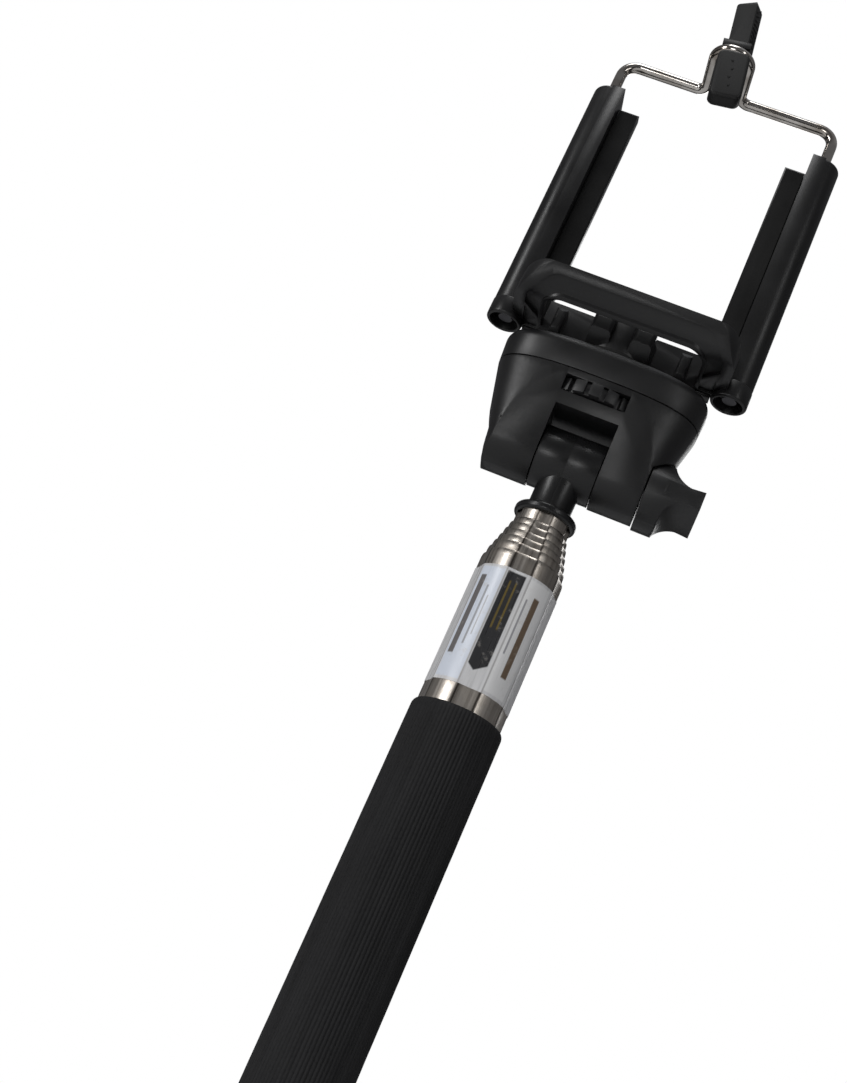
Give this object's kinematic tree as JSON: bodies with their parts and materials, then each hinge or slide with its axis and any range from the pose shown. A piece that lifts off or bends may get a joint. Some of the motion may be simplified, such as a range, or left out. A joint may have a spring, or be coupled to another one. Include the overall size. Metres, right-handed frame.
{
  "type": "telescopic selfie stick",
  "caption": "Telescopic hand pole with foam grip, wrist-strap eye, tilting head, wing knob, thumbwheel screw and a spring-loaded phone clamp with wire bow and rubber hook.",
  "frame": {"origin": "centre of the flat butt face of the handle", "axes": "+Z along the pole towards the clamp, +X along the tilt bolt towards the wing knob, -Y towards the side the phone's screen faces; stored collapsed, head straight, bow closed"},
  "size_m": [0.0544, 0.0261, 0.3172],
  "materials": {
    "foam": "closed-cell foam, fine lengthwise ribs",
    "butt_plastic": "moulded, fine texture",
    "tube_steel": "drawn, fluted, slightly champagne",
    "label_film": "printed film, no lettering",
    "nylon": "natural nylon",
    "neck_plastic": "satin black",
    "head_plastic": "satin black, fine spark texture",
    "wheel_plastic": "moulded black",
    "knob_plastic": "moulded black",
    "clamp_plastic": "satin black",
    "arm_plastic": "satin black",
    "pad_rubber": "matt black",
    "hook_rubber": "matt black",
    "zinc_steel": "zinc plated",
    "black_steel": "black oxide",
    "brass_insert": "turned",
    "wire_chrome": "bright nickel plated",
    "spring_steel": "oiled"
  },
  "bodies": {
    "handle": {"tube_1": "tube_steel", "foam_grip": "foam", "butt_cap": "butt_plastic", "butt_plug": "butt_plastic", "butt_screw": "zinc_steel", "label_wrap": "label_film"},
    "section_2": {"tube_2": "tube_steel", "glide_bush_2": "nylon"},
    "section_3": {"tube_3": "tube_steel", "glide_bush_3": "nylon"},
    "section_4": {"tube_4": "tube_steel", "glide_bush_4": "nylon"},
    "section_5": {"tube_5": "tube_steel", "glide_bush_5": "nylon"},
    "section_6": {"tube_6": "tube_steel", "glide_bush_6": "nylon"},
    "section_7": {"tube_7": "tube_steel", "glide_bush_7": "nylon", "neck_left": "neck_plastic", "neck_right": "neck_plastic", "neck_collar": "neck_plastic", "neck_pin": "zinc_steel"},
    "head": {"head_housing": "head_plastic", "head_lid": "head_plastic", "lid_screws": "black_steel", "head_pad": "pad_rubber", "tilt_bolt": "zinc_steel", "friction_washers": "butt_plastic"},
    "knob": {"wing_knob": "knob_plastic", "knob_insert": "brass_insert"},
    "wheel": {"thumb_wheel": "wheel_plastic", "camera_screw": "zinc_steel"},
    "clamp": {"clamp_base": "clamp_plastic", "tray_frame": "clamp_plastic", "threaded_insert": "brass_insert", "back_plate": "clamp_plastic", "back_screws": "black_steel", "arm_left": "arm_plastic", "arm_right": "arm_plastic", "grip_pad_left": "pad_rubber", "grip_pad_right": "pad_rubber", "end_cap_left": "arm_plastic", "end_cap_right": "arm_plastic", "cap_rivet_left": "black_steel", "cap_rivet_right": "black_steel", "guide_bush_left": "arm_plastic", "guide_bush_right": "arm_plastic", "spring_left": "spring_steel", "spring_right": "spring_steel"},
    "bow": {"wire_bow": "wire_chrome", "leg_stops": "zinc_steel", "rubber_hook": "hook_rubber"}
  },
  "joints": [
    {"name": "telescope_2", "type": "slide", "parent": "handle", "child": "section_2", "axis": [0, 0, 1], "range_m": [0, 0.128]},
    {"name": "telescope_3", "type": "slide", "parent": "section_2", "child": "section_3", "axis": [0, 0, 1], "range_m": [0, 0.128]},
    {"name": "telescope_4", "type": "slide", "parent": "section_3", "child": "section_4", "axis": [0, 0, 1], "range_m": [0, 0.128]},
    {"name": "telescope_5", "type": "slide", "parent": "section_4", "child": "section_5", "axis": [0, 0, 1], "range_m": [0, 0.128]},
    {"name": "telescope_6", "type": "slide", "parent": "section_5", "child": "section_6", "axis": [0, 0, 1], "range_m": [0, 0.128]},
    {"name": "telescope_7", "type": "slide", "parent": "section_6", "child": "section_7", "axis": [0, 0, 1], "range_m": [0, 0.128]},
    {"name": "head_tilt", "type": "hinge", "parent": "section_7", "child": "head", "pos_m": [0, 0, 0.20785], "axis": [1, 0, 0], "range_deg": [-90, 90]},
    {"name": "knob_turn", "type": "hinge", "parent": "head", "child": "knob", "pos_m": [0.019, 0, 0.20785], "axis": [1, 0, 0], "continuous": true},
    {"name": "wheel_spin", "type": "hinge", "parent": "head", "child": "wheel", "pos_m": [0, 0, 0.2194], "axis": [0, 0, 1], "continuous": true},
    {"name": "clamp_swivel", "type": "hinge", "parent": "head", "child": "clamp", "pos_m": [0, 0, 0.2305], "axis": [0, 0, 1], "continuous": true},
    {"name": "bow_slide", "type": "slide", "parent": "clamp", "child": "bow", "axis": [0, 0, 1], "range_m": [0, 0.025], "stiffness_N_per_m": 180, "springref_m": -0.01, "deforming": ["spring_left", "spring_right"]}
  ]
}
